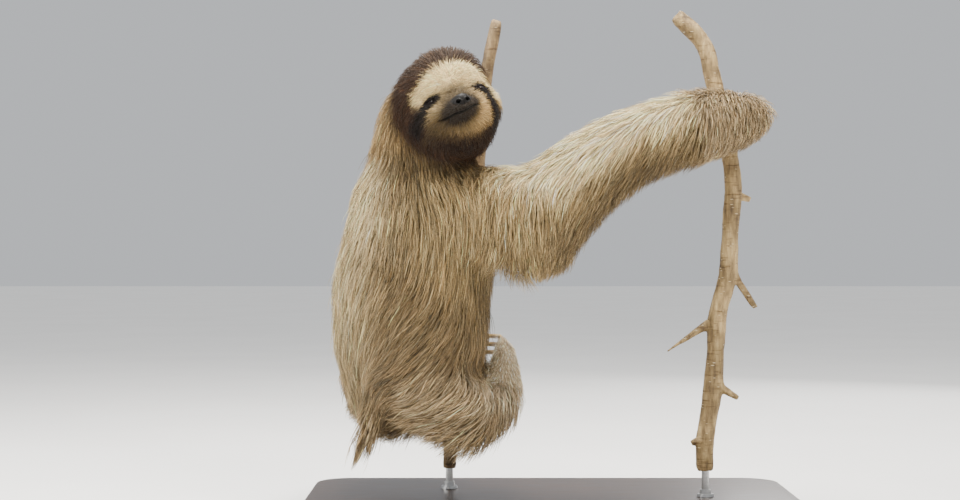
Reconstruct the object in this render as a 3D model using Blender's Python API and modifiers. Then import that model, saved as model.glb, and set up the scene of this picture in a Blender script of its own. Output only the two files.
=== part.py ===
"""A three-toed sloth as a still, life-size display model, clinging to two cut stems that stand on a
flat base. The solids give the animal's outline out to the tips of its coat. Metres, +Z up; the animal's
stretched right arm points along +X, and its face looks towards -Y. The origin is the middle of the
base's underside.

The trunk with its neck and right arm is one fused form, and so are the left arm, each leg and the tail.
Thin cuts part them at the joints. The trunk is hollowed to receive the other forms and the head."""

import math

import bmesh
import bpy
from mathutils import Matrix, Vector

GAP = 0.0003  # clearance that touching solids keep
BLADE = 0.0004  # thickness of the cuts that part the body
SEAT_GAP = 0.0010  # clearance of the hollows that receive the head and limbs

BODY_VOXEL = 0.0055
BODY_SMOOTHING = 10
BODY_KEPT = 0.069  # share of the fused faces that the solids keep
HEAD_VOXEL = 0.0032
HEAD_SMOOTHING = 5
HEAD_KEPT = 0.062

# Base and rods
BASE_LENGTH, BASE_DEPTH, BASE_THICKNESS = 0.520, 0.340, 0.018
BASE_CORNER, BASE_BEVEL = 0.040, 0.004
ROD_RADIUS = 0.004
ROD_SOCKET = 0.030  # how far a rod runs up inside its stem

# Stems: points along each centre line, from the cut foot to the cut top, and the radii there
STEM_LINE = [
    (-0.109, 0.075, 0.040),
    (-0.107, 0.075, 0.075),
    (-0.099, 0.075, 0.118),
    (-0.090, 0.075, 0.169),
    (-0.083, 0.075, 0.234),
    (-0.079, 0.075, 0.311),
    (-0.077, 0.075, 0.376),
    (-0.073, 0.075, 0.431),
    (-0.067, 0.075, 0.480),
    (-0.057, 0.075, 0.530),
]
STEM_FOOT_RADIUS, STEM_TOP_RADIUS = 0.0082, 0.0074
BRANCH_LINE = [
    (0.162, 0.008, 0.045),
    (0.161, 0.008, 0.075),
    (0.167, 0.007, 0.110),
    (0.172, 0.006, 0.160),
    (0.175, 0.006, 0.214),
    (0.185, 0.006, 0.250),
    (0.188, 0.006, 0.300),
    (0.191, 0.006, 0.340),
    (0.188, 0.006, 0.375),
    (0.179, 0.006, 0.420),
    (0.169, 0.007, 0.460),
    (0.165, 0.009, 0.487),
    (0.153, 0.011, 0.505),
    (0.131, 0.014, 0.527),
]
BRANCH_FOOT_RADIUS, BRANCH_TOP_RADIUS = 0.0106, 0.0094
# Side shoots of the branch: root, tip, radius at the root, radius at the tip
SHOOTS = [
    ((0.166, 0.006, 0.201), (0.120, 0.000, 0.171), 0.0056, 0.0014),
    ((0.188, 0.007, 0.258), (0.216, 0.012, 0.216), 0.0052, 0.0038),
    ((0.188, 0.008, 0.338), (0.212, 0.018, 0.331), 0.0058, 0.0042),
    ((0.176, 0.004, 0.134), (0.196, 0.000, 0.122), 0.0058, 0.0034),
    ((0.160, 0.004, 0.079), (0.146, 0.000, 0.075), 0.0058, 0.0036),
]

# Joints of the animal's frame, at the middle of the coated limb
CHEST, WAIST = Vector((-0.134, 0.000, 0.312)), Vector((-0.147, 0.000, 0.236))
BELLY, RUMP = Vector((-0.148, 0.000, 0.184)), Vector((-0.157, 0.000, 0.150))
NECK_LOW, NECK_HIGH = Vector((-0.143, 0.000, 0.345)), Vector((-0.133, -0.010, 0.408))
SHOULDER_R, ELBOW_R = Vector((-0.112, -0.036, 0.314)), Vector((-0.010, -0.050, 0.315))
WRIST_R, KNUCKLES_R = Vector((0.152, -0.030, 0.407)), Vector((0.214, -0.016, 0.419))
SHOULDER_L, ELBOW_L = Vector((-0.166, 0.025, 0.326)), Vector((-0.178, 0.120, 0.275))
WRIST_L, KNUCKLES_L = Vector((-0.118, 0.123, 0.398)), Vector((-0.091, 0.104, 0.437))
HIP_R, KNEE_R = Vector((-0.144, -0.025, 0.150)), Vector((-0.090, -0.055, 0.106))
ANKLE_R, TOES_R = Vector((-0.052, -0.010, 0.120)), Vector((-0.049, 0.046, 0.171))
HIP_L, KNEE_L = Vector((-0.184, 0.026, 0.150)), Vector((-0.178, 0.112, 0.120))
ANKLE_L, TOES_L = Vector((-0.122, 0.126, 0.126)), Vector((-0.106, 0.103, 0.152))
TAIL_ROOT, TAIL_TIP = Vector((-0.181, -0.034, 0.114)), Vector((-0.202, -0.036, 0.070))

# The head: its middle, and how it is held
HEAD = Vector((-0.111, -0.050, 0.425))
HEAD_YAW, HEAD_PITCH, HEAD_ROLL = math.radians(18.5), math.radians(20), math.radians(18)
EYE_APART, EYE_FORWARD, EYE_UP, EYE_RADIUS = 0.0275, 0.0325, -0.0062, 0.0060

# Three claws to a limb
CLAWS_PER_LIMB = 3
CLAW_POINTS = 9
HAND_CLAW, FOOT_CLAW = (0.0042, 0.0105), (0.0036, 0.0088)  # radius at the root, and how far apart
# Where each set hooks round a stem: its middle, the stem's lean there, the angle at the root and the
# sweep in degrees, and how far from the stem's middle the root and the tip are
CLAW_HOOKS = [
    ("hand_right", (0.1812, 0.006, 0.411), -0.22, -14, 200, 0.030, 0.0130),
    ("hand_left", (-0.0726, 0.075, 0.437), 0.12, 118, -215, 0.025, 0.0106),
    ("foot_right", (-0.0893, 0.075, 0.175), 0.12, -36, 165, 0.043, 0.0116),
    ("foot_left", (-0.0937, 0.075, 0.149), 0.18, 115, -200, 0.025, 0.0110),
]

COAT = ("coat", (0.42, 0.33, 0.22), 0.85, 0.0)
MASK = ("mask", (0.30, 0.21, 0.14), 0.85, 0.0)
HORN = ("horn", (0.55, 0.45, 0.28), 0.45, 0.0)
EYE = ("eye", (0.012, 0.008, 0.006), 0.08, 0.0)
NOSE = ("nose", (0.035, 0.033, 0.030), 0.45, 0.0)
BARK = ("bark", (0.24, 0.17, 0.11), 0.9, 0.0)
PLINTH = ("plinth", (0.05, 0.045, 0.04), 0.5, 0.0)
STEEL = ("steel", (0.45, 0.45, 0.45), 0.3, 1.0)


def clear_scene():
    for obj in list(bpy.data.objects):
        bpy.data.objects.remove(obj)


def new_collection(name):
    made = bpy.data.collections.new(name)
    bpy.context.scene.collection.children.link(made)
    return made


def material(finish):
    """The Principled material of this finish, made the first time it is asked for."""
    name, colour, roughness, metallic = finish
    if name in bpy.data.materials:
        return bpy.data.materials[name]
    made = bpy.data.materials.new(name)
    made.use_nodes = True
    shader = made.node_tree.nodes["Principled BSDF"]
    shader.inputs["Base Color"].default_value = (*colour, 1.0)
    shader.inputs["Roughness"].default_value = roughness
    shader.inputs["Metallic"].default_value = metallic
    return made


def add(name, data, finish=None, cutter=False):
    """A new object in the model, or among the cutters."""
    obj = bpy.data.objects.new(name, data)
    (cutters if cutter else model).objects.link(obj)
    if cutter:
        obj.hide_render = True
        obj.display_type = "WIRE"
    if finish:
        data.materials.clear()
        data.materials.append(material(finish))
    return obj


def mesh_of(name, bm):
    mesh = bpy.data.meshes.new(name)
    bm.to_mesh(mesh)
    bm.free()
    return mesh


def baked(obj):
    """A plain mesh of what the object's modifiers or curve settings make, with its points merged."""
    bpy.context.view_layer.update()
    graph = bpy.context.evaluated_depsgraph_get()
    mesh = bpy.data.meshes.new_from_object(obj.evaluated_get(graph))
    mesh.transform(obj.matrix_world)
    bm = bmesh.new()
    bm.from_mesh(mesh)
    bmesh.ops.remove_doubles(bm, verts=bm.verts, dist=1e-6)
    bm.to_mesh(mesh)
    bm.free()
    bpy.data.objects.remove(obj)
    return mesh


# ---- forms -------------------------------------------------------------------------------------


def turned_to(direction):
    """The rotation that takes +Z to this direction."""
    return Vector(direction).to_track_quat("Z", "Y").to_matrix().to_4x4()


def ball(bm, centre, radii, turn=None, round_count=24):
    """An ellipsoid; radii is one number or three."""
    if isinstance(radii, float):
        radii = (radii, radii, radii)
    place = Matrix.Translation(centre) @ (turn or Matrix()) @ Matrix.Diagonal((*radii, 1.0))
    bmesh.ops.create_uvsphere(
        bm, u_segments=round_count, v_segments=round_count * 5 // 8, radius=1.0, matrix=place
    )


def limb(bm, *stations):
    """Round flesh along a chain of (place, radius) stations."""
    for place, radius in stations:
        ball(bm, place, radius)
    for (start, r_start), (end, r_end) in zip(stations, stations[1:]):
        along = end - start
        place = Matrix.Translation((start + end) / 2) @ turned_to(along)
        bmesh.ops.create_cone(
            bm, cap_ends=True, segments=24, radius1=r_start, radius2=r_end, depth=along.length, matrix=place
        )


def fused(name, bm, voxel, smoothing, kept, finish):
    """One closed skin round everything in bm, with soft creases."""
    obj = add(name, mesh_of(name, bm), finish)
    remesh = obj.modifiers.new("fuse", "REMESH")
    remesh.mode = "VOXEL"
    remesh.voxel_size = voxel
    smooth = obj.modifiers.new("soften", "SMOOTH")
    smooth.factor = 0.5
    smooth.iterations = smoothing
    thin = obj.modifiers.new("thin", "DECIMATE")
    thin.ratio = kept
    return obj


def grown(name, obj, by):
    """A cutter that is the object swollen by this much."""
    cutter = add(name, obj.data.copy(), cutter=True)
    swell = cutter.modifiers.new("swell", "DISPLACE")
    swell.mid_level = 0.0
    swell.strength = by
    return cutter


def cut(obj, cutter):
    boolean = obj.modifiers.new("cut_" + cutter.name, "BOOLEAN")
    boolean.operation = "DIFFERENCE"
    boolean.object = cutter


def smooth_line(points, steps):
    """Points along a Catmull-Rom curve through these, with this many steps between each two."""
    line = [Vector(p) for p in points]
    line = [2 * line[0] - line[1], *line, 2 * line[-1] - line[-2]]
    found = []
    for a, b, c, d in zip(line, line[1:], line[2:], line[3:]):
        for step in range(steps):
            t = step / steps
            bend, twist = 2 * a - 5 * b + 4 * c - d, 3 * b - a - 3 * c + d
            found.append(0.5 * (2 * b + (c - a) * t + bend * t**2 + twist * t**3))
    return [*found, line[-2]]


def tube(name, points, radii, resolution=1):
    """A plain mesh of a capped round tube along the points, with a radius at each."""
    curve = bpy.data.curves.new(name, "CURVE")
    curve.dimensions = "3D"
    curve.bevel_depth = 1.0
    curve.bevel_resolution = resolution
    curve.use_fill_caps = True
    spline = curve.splines.new("POLY")
    spline.points.add(len(points) - 1)
    for point, place, radius in zip(spline.points, points, radii):
        point.co = (*place, 1.0)
        point.radius = radius
    return baked(add(name, curve))


# ---- base, rods and stems ----------------------------------------------------------------------


def make_base():
    bm = bmesh.new()
    size = Matrix.Diagonal((BASE_LENGTH, BASE_DEPTH, BASE_THICKNESS, 1.0))
    bmesh.ops.create_cube(bm, size=1.0, matrix=Matrix.Translation((0, 0, BASE_THICKNESS / 2)) @ size)
    uprights = [e for e in bm.edges if abs(e.verts[0].co.z - e.verts[1].co.z) > BASE_THICKNESS / 2]
    rounding = {"profile": 0.5, "affect": "EDGES", "material": -1}
    bmesh.ops.bevel(bm, geom=uprights, offset=BASE_CORNER, segments=6, **rounding)
    rim = [e for e in bm.edges if min(v.co.z for v in e.verts) > BASE_THICKNESS * 0.99]
    bmesh.ops.bevel(bm, geom=rim, offset=BASE_BEVEL, segments=2, **rounding)
    return add("stand_base", mesh_of("stand_base", bm), PLINTH)


def make_rod(name, foot):
    """A steel rod from the base's top up into the foot of a stem."""
    low = BASE_THICKNESS + GAP
    high = foot.z + ROD_SOCKET
    bm = bmesh.new()
    bmesh.ops.create_cone(
        bm,
        cap_ends=True,
        segments=16,
        radius1=ROD_RADIUS,
        radius2=ROD_RADIUS,
        depth=high - low,
        matrix=Matrix.Translation((foot.x, foot.y, (low + high) / 2)),
    )
    return add(name, mesh_of(name, bm), STEEL)


def stem_tube(name, points, foot_radius, top_radius, extra=0.0):
    line = smooth_line(points, 2)
    last = len(line) - 1
    radii = [foot_radius + (top_radius - foot_radius) * i / last + extra for i in range(last + 1)]
    return tube(name, line, radii, resolution=2)


def make_stem(name, points, foot_radius, top_radius, shoots, rod):
    """A cut stem with its side shoots, and a socket in its foot for the rod."""
    stem = add(name, stem_tube(name, points, foot_radius, top_radius), BARK)
    for number, (root, tip, root_radius, tip_radius) in enumerate(shoots):
        start, end = Vector(root), Vector(tip)
        line = [start, start.lerp(end, 0.4), end]
        radii = [root_radius, (root_radius + tip_radius) / 2, tip_radius]
        union = stem.modifiers.new(f"shoot_{number}", "BOOLEAN")
        union.operation = "UNION"
        union.object = add(f"shoot_{number}", tube(f"shoot_{number}", line, radii), cutter=True)
    cut(stem, grown(name + "_socket", rod, GAP))


# ---- claws -------------------------------------------------------------------------------------


def claw_line(middle, start, sweep, reach, end_reach):
    """Points of a claw that hooks round an upright stem: level with its middle, from the angle start
    through sweep, closing in from reach to end_reach."""
    points = []
    for step in range(CLAW_POINTS):
        share = step / (CLAW_POINTS - 1)
        angle = start + sweep * share
        out = end_reach + (reach - end_reach) * (1 - share) ** 2
        points.append(middle + out * Vector((math.cos(angle), math.sin(angle), 0)))
    return points


def claw_radii(radius, extra=0.0):
    """A claw is stoutest at its root and tapers to a blunt point."""
    shares = [step / (CLAW_POINTS - 1) for step in range(CLAW_POINTS)]
    return [radius * (1.0 - 0.86 * share**1.6) + extra for share in shares]


def make_claws(limb_name, middle, lean, start, sweep, reach, end_reach):
    """Three claws, one above the other, and their swollen copies, which seat them in the flesh."""
    radius, spread = HAND_CLAW if "hand" in limb_name else FOOT_CLAW
    seats = []
    for number in range(CLAWS_PER_LIMB):
        level = Vector(middle) + spread * (1 - number) * Vector((lean, 0, 1))
        line = claw_line(level, math.radians(start), math.radians(sweep), reach, end_reach)
        name = f"claw_{limb_name}_{number + 1}"
        add(name, tube(name, line, claw_radii(radius)), HORN)
        seats.append(add(name + "_seat", tube(name + "_seat", line, claw_radii(radius, GAP)), cutter=True))
    return seats


# ---- the animal --------------------------------------------------------------------------------


def trunk_masses():
    bm = bmesh.new()
    limb(bm, (CHEST, 0.079), (WAIST, 0.084), (BELLY, 0.082), (RUMP, 0.064))
    limb(bm, (NECK_LOW, 0.056), (NECK_HIGH, 0.051))
    limb(bm, (CHEST, 0.060), (SHOULDER_L, 0.048))
    # Right arm, stretched sideways to the branch, with the fringe that hangs from its elbow
    forearm = WRIST_R - ELBOW_R
    limb(
        bm,
        (SHOULDER_R, 0.050),
        (ELBOW_R, 0.051),
        (ELBOW_R + forearm * 0.26 + Vector((0, 0, 0.015)), 0.0455),
        (ELBOW_R + forearm * 0.52 + Vector((0, 0, 0.018)), 0.0415),
        (ELBOW_R + forearm * 0.76 + Vector((0, 0, 0.011)), 0.0400),
        (WRIST_R, 0.038),
        (WRIST_R.lerp(KNUCKLES_R, 0.62), 0.031),
        (KNUCKLES_R, 0.019),
    )
    ball(bm, ELBOW_R + Vector((-0.006, 0.000, -0.026)), (0.046, 0.032, 0.042))
    return bm


def left_arm_masses():
    """The arm that reaches round the far side of the stem."""
    bm = bmesh.new()
    limb(
        bm,
        (SHOULDER_L.lerp(ELBOW_L, 0.4), 0.045),
        (ELBOW_L, 0.042),
        (ELBOW_L.lerp(WRIST_L, 0.5), 0.037),
        (WRIST_L, 0.032),
        (WRIST_L.lerp(KNUCKLES_L, 0.62), 0.026),
        (KNUCKLES_L, 0.0165),
    )
    return bm


def leg_masses(hip, knee, ankle, toes):
    """A folded leg, with the foot flat against the stem."""
    bm = bmesh.new()
    limb(
        bm,
        (hip.lerp(knee, 0.3), 0.046),
        (knee, 0.036),
        (ankle, 0.025),
        (ankle.lerp(toes, 0.45), 0.0205),
        (toes, 0.0130),
    )
    return bm


def tail_masses():
    """A short stump in a pointed tuft."""
    bm = bmesh.new()
    root, middle = TAIL_ROOT.lerp(TAIL_TIP, 0.2), TAIL_ROOT.lerp(TAIL_TIP, 0.5)
    limb(bm, (root, 0.019), (middle, 0.0145), (TAIL_TIP, 0.0050))
    return bm


def head_turn():
    """How the head is held, from facing -Y with its crown up."""
    roll = Matrix.Rotation(-HEAD_ROLL, 4, "Y")
    yaw = Matrix.Rotation(HEAD_YAW, 4, "Z")
    pitch = Matrix.Rotation(-HEAD_PITCH, 4, "X")
    return roll @ yaw @ pitch


def on_head(across, forward, up):
    """A place measured from the middle of the skull."""
    return HEAD + head_turn() @ Vector((across, -forward, up))


def head_form():
    bm = bmesh.new()
    turn = head_turn()

    def mass(place, radii):
        ball(bm, on_head(*place), radii, turn)

    mass((0, -0.006, -0.001), (0.0550, 0.050, 0.056))  # skull
    mass((0.013, -0.008, 0.022), (0.043, 0.042, 0.042))  # crown
    mass((0, 0.024, 0.014), (0.040, 0.021, 0.026))  # brow
    mass((0.001, 0.004, -0.036), (0.039, 0.036, 0.028))  # jaw and throat
    mass((0, 0.034, -0.0245), (0.0240, 0.0205, 0.0150))  # muzzle
    for side in (-1, 1):
        mass((side * 0.028, 0.010, -0.016), (0.026, 0.028, 0.030))  # cheek
    return bm


def make_head():
    skull = fused("skull", head_form(), HEAD_VOXEL, HEAD_SMOOTHING, HEAD_KEPT, MASK)
    head = add("head", baked(skull), MASK)
    seat = grown("head_seat", head, SEAT_GAP)
    turn = head_turn()

    bm = bmesh.new()
    ball(bm, on_head(0, 0.0500, -0.0195), (0.0100, 0.0060, 0.0068), turn, 11)
    nose = add("nose", mesh_of("nose", bm), NOSE)
    cut(head, grown("nose_seat", nose, GAP))
    for side, name in ((-1, "eye_right"), (1, "eye_left")):
        bm = bmesh.new()
        place = on_head(side * EYE_APART, EYE_FORWARD, EYE_UP)
        ball(bm, place, EYE_RADIUS, turn, 11)
        eye = add(name, mesh_of(name, bm), EYE)
        cut(head, grown(name + "_seat", eye, GAP))
    return seat


def blade(name, place, facing, radius):
    """A thin round cut through the body at a joint."""
    bm = bmesh.new()
    bmesh.ops.create_cone(
        bm,
        cap_ends=True,
        segments=32,
        radius1=radius,
        radius2=radius,
        depth=BLADE,
        matrix=Matrix.Translation(place) @ turned_to(facing),
    )
    return add("blade_" + name, mesh_of("blade_" + name, bm), cutter=True)


def joint_blades():
    return [
        blade("neck", (-0.138, -0.004, 0.379), (-0.12, 0.0, 1.0), 0.076),
        blade("shoulder_right", (-0.046, -0.045, 0.314), (1.0, -0.05, 0.20), 0.068),
        blade("elbow_right", (0.014, -0.049, 0.318), (1.0, 0.0, 0.35), 0.085),
        blade("wrist_right", (0.146, -0.031, 0.404), (1.0, 0.1, 0.25), 0.055),
        blade("elbow_left", (-0.154, 0.121, 0.322), (0.40, 0.50, 0.77), 0.056),
        blade("wrist_left", (-0.116, 0.122, 0.401), (0.50, -0.25, 0.8), 0.046),
        blade("ankle_right", (-0.050, -0.003, 0.127), (0.1, 0.65, 0.75), 0.036),
        blade("ankle_left", (-0.119, 0.119, 0.131), (0.90, -0.10, 0.40), 0.040),
    ]


# The pieces that the cuts leave of each form, and about where each has its middle
FORM_PARTS = {
    "trunk": {
        "torso": CHEST.lerp(BELLY, 0.6),
        "neck": NECK_HIGH,
        "arm_right_upper": ELBOW_R,
        "arm_right_fore": ELBOW_R.lerp(WRIST_R, 0.55),
        "hand_right": WRIST_R.lerp(KNUCKLES_R, 0.4),
    },
    "left_arm": {
        "arm_left_upper": ELBOW_L,
        "arm_left_fore": ELBOW_L.lerp(WRIST_L, 0.6),
        "hand_left": WRIST_L.lerp(KNUCKLES_L, 0.6),
    },
    "right_leg": {"leg_right": KNEE_R, "foot_right": ANKLE_R.lerp(TOES_R, 0.6)},
    "left_leg": {"leg_left": KNEE_L, "foot_left": ANKLE_L.lerp(TOES_L, 0.6)},
    "tail_tuft": {"tail": TAIL_ROOT},
}


def meets(obj, other):
    """Whether the two objects' boxes overlap."""
    a, b = [list(zip(*one.bound_box)) for one in (obj, other)]
    return all(min(a[i]) < max(b[i]) + GAP and min(b[i]) < max(a[i]) + GAP for i in range(3))


def loose_pieces(mesh):
    """The separate closed bodies of a mesh, each as its own bmesh."""
    whole = bmesh.new()
    whole.from_mesh(mesh)
    whole.verts.index_update()
    left = set(whole.verts)
    groups = []
    while left:
        first = left.pop()
        group, edge = {first}, [first]
        while edge:
            vert = edge.pop()
            for link in vert.link_edges:
                other = link.other_vert(vert)
                if other not in group:
                    group.add(other)
                    left.discard(other)
                    edge.append(other)
        groups.append(group)
    pieces = []
    for group in groups:
        piece = bmesh.new()
        copies = {vert: piece.verts.new(vert.co) for vert in group}
        for face in {face for vert in group for face in vert.link_faces}:
            piece.faces.new([copies[vert] for vert in face.verts]).smooth = True
        bmesh.ops.recalc_face_normals(piece, faces=piece.faces)
        pieces.append(piece)
    whole.free()
    return pieces


def part(mesh, middles):
    """Names each loose piece of a cut form by the part whose middle is nearest."""
    pieces = sorted(loose_pieces(mesh), key=lambda piece: -piece.calc_volume())[: len(middles)]
    middles = dict(middles)
    for piece in pieces:
        centre = sum((face.calc_center_median() * face.calc_area() for face in piece.faces), Vector())
        centre /= sum(face.calc_area() for face in piece.faces)
        name = min(middles, key=lambda each: (middles[each] - centre).length)
        del middles[name]
        add(name, mesh_of(name, piece), COAT)


def make_body(seats):
    masses = {
        "trunk": trunk_masses(),
        "tail_tuft": tail_masses(),
        "left_leg": leg_masses(HIP_L, KNEE_L, ANKLE_L, TOES_L),
        "right_leg": leg_masses(HIP_R, KNEE_R, ANKLE_R, TOES_R),
        "left_arm": left_arm_masses(),
    }
    forms = []
    for name, bm in masses.items():
        whole = fused(name, bm, BODY_VOXEL, BODY_SMOOTHING, BODY_KEPT, COAT)
        forms.append(add(name, baked(whole), COAT))
    # Each form gives way to the forms after it
    seats = [*seats, *joint_blades()]
    for form in reversed(forms):
        parts = FORM_PARTS[form.name]
        seat = grown(form.name + "_seat", form, SEAT_GAP)
        for cutter in seats:
            if meets(form, cutter):
                cut(form, cutter)
        seats.append(seat)
        part(baked(form), parts)


def main():
    make_base()
    seats = []
    for name, points, foot, top, shoots in (
        ("perch_stem", STEM_LINE, STEM_FOOT_RADIUS, STEM_TOP_RADIUS, []),
        ("perch_branch", BRANCH_LINE, BRANCH_FOOT_RADIUS, BRANCH_TOP_RADIUS, SHOOTS),
    ):
        rod = make_rod(name.replace("perch", "stand_rod"), Vector(points[0]))
        make_stem(name, points, foot, top, shoots, rod)
        seats.append(add(name + "_seat", stem_tube(name + "_seat", points, foot, top, GAP), cutter=True))

    seats.append(make_head())
    for hook in CLAW_HOOKS:
        seats += make_claws(*hook)
    make_body(seats)


clear_scene()
model = new_collection("three_toed_sloth")
cutters = new_collection("cutters")
main()
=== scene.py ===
import math

import bmesh
import bpy
import numpy as np
from mathutils import Matrix, Vector, noise
from mathutils.kdtree import KDTree


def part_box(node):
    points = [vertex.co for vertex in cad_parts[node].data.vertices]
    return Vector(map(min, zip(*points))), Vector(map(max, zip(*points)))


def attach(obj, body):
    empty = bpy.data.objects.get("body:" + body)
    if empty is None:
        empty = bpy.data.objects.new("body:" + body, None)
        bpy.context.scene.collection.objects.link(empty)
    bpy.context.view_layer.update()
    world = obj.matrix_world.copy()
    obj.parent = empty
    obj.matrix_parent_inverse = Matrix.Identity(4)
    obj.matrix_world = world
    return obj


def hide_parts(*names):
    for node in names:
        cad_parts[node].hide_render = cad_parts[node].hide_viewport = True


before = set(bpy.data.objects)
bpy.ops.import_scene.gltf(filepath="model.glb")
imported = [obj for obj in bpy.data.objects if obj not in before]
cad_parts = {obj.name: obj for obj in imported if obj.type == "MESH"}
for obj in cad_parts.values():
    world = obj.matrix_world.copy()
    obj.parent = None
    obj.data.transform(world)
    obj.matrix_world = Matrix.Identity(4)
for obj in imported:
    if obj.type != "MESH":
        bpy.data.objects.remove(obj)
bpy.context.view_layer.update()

chance = np.random.default_rng(11)

# ---- named sizes, in metres ------------------------------------------------------------------------

HEAD = np.array((-0.111, -0.050, 0.425))
HEAD_YAW, HEAD_PITCH, HEAD_ROLL = math.radians(18.5), math.radians(20), math.radians(18)
EYE_ACROSS, EYE_SHIFT, EYE_FORWARD, EYE_UP = 0.0275, 0.0022, 0.0325, -0.0066
EYE_RADIUS, EYE_SUNK, LID_THICKNESS = 0.0056, 0.0026, 0.0008
SLIT_HALF_WIDTH, SLIT_ABOVE, SLIT_BELOW = 0.0050, 0.0007, 0.0015
NOSE_UP, NOSE_HALF_WIDTH, NOSE_HALF_HEIGHT = -0.0195, 0.0112, 0.0078
NOSTRIL_ACROSS, NOSTRIL_UP, NOSTRIL_RADIUS, NOSTRIL_DEPTH = 0.0049, -0.0236, 0.0023, 0.0034
TORSO_MIDDLE = np.array((-0.148, 0.0, 0.24))
ANIMAL_RIGHT = np.array((0.77, -0.64, 0.0))
TAIL_ROOT = np.array((-0.181, -0.034, 0.114))
ARM_AXIS = ((0.008, 0.092, 0.197), (0.320, 0.382, 0.411))
SKIN_VOXEL, SKIN_SWELL, TOE_RADIUS = 0.0033, 0.0013, 0.0056
PATCH = 0.003

FLESH = (
    "torso neck head nose tail arm_right_upper arm_right_fore hand_right arm_left_upper arm_left_fore "
    "hand_left leg_right foot_right leg_left foot_left"
).split()
EYES = {"right": -1, "left": 1}

# Coat of each part: depth over the skin, length of its locks, distance between them, half their width
COAT = {
    "torso": (0.0105, 0.042, 0.00228, 0.00035),
    "neck": (0.0100, 0.036, 0.0020, 0.00034),
    "tail": (0.0075, 0.040, 0.0018, 0.00058),
    "arm_right_upper": (0.0095, 0.032, 0.0019, 0.00034),
    "arm_right_fore": (0.0088, 0.035, 0.00196, 0.00034),
    "hand_right": (0.0055, 0.018, 0.0016, 0.00032),
    "arm_left_upper": (0.0090, 0.036, 0.0024, 0.00046),
    "arm_left_fore": (0.0080, 0.030, 0.0024, 0.00046),
    "hand_left": (0.0050, 0.013, 0.0019, 0.00036),
    "leg_right": (0.0100, 0.034, 0.0023, 0.00042),
    "foot_right": (0.0024, 0.0105, 0.00128, 0.00023),
    "leg_left": (0.0100, 0.034, 0.0025, 0.00048),
    "foot_left": (0.0024, 0.0105, 0.00145, 0.00026),
    "head": (0.0070, 0.018, 0.0015, 0.00034),
    "nose": (0.0006, 0.003, 0.0016, 0.00020),
    "eye_left": (0.0014, 0.003, 0.0016, 0.00020),
    "eye_right": (0.0014, 0.003, 0.0016, 0.00020),
}
FACE = (0.0028, 0.0062, 0.00098, 0.00019)
PARTS = list(COAT)
HEAD_PART = PARTS.index("head")
LENGTH_SPREAD, WIDTH_SPREAD, LIFT_SPREAD = (0.72, 1.18), (0.6, 1.25), (0.40, 1.20)
STRAY_SHARE, STRAY_LIFT = 0.03, (0.1, 0.6)
GATHER_BODY, GATHER_HEAD, GATHER_TAIL = 0.24, 0.15, 0.09
SUNLIT_SHARE, SUNLIT_GAIN = 0.16, 1.65
FEW_STEPS = "face head_sides hand_right arm_left leg_left feet".split()

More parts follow.
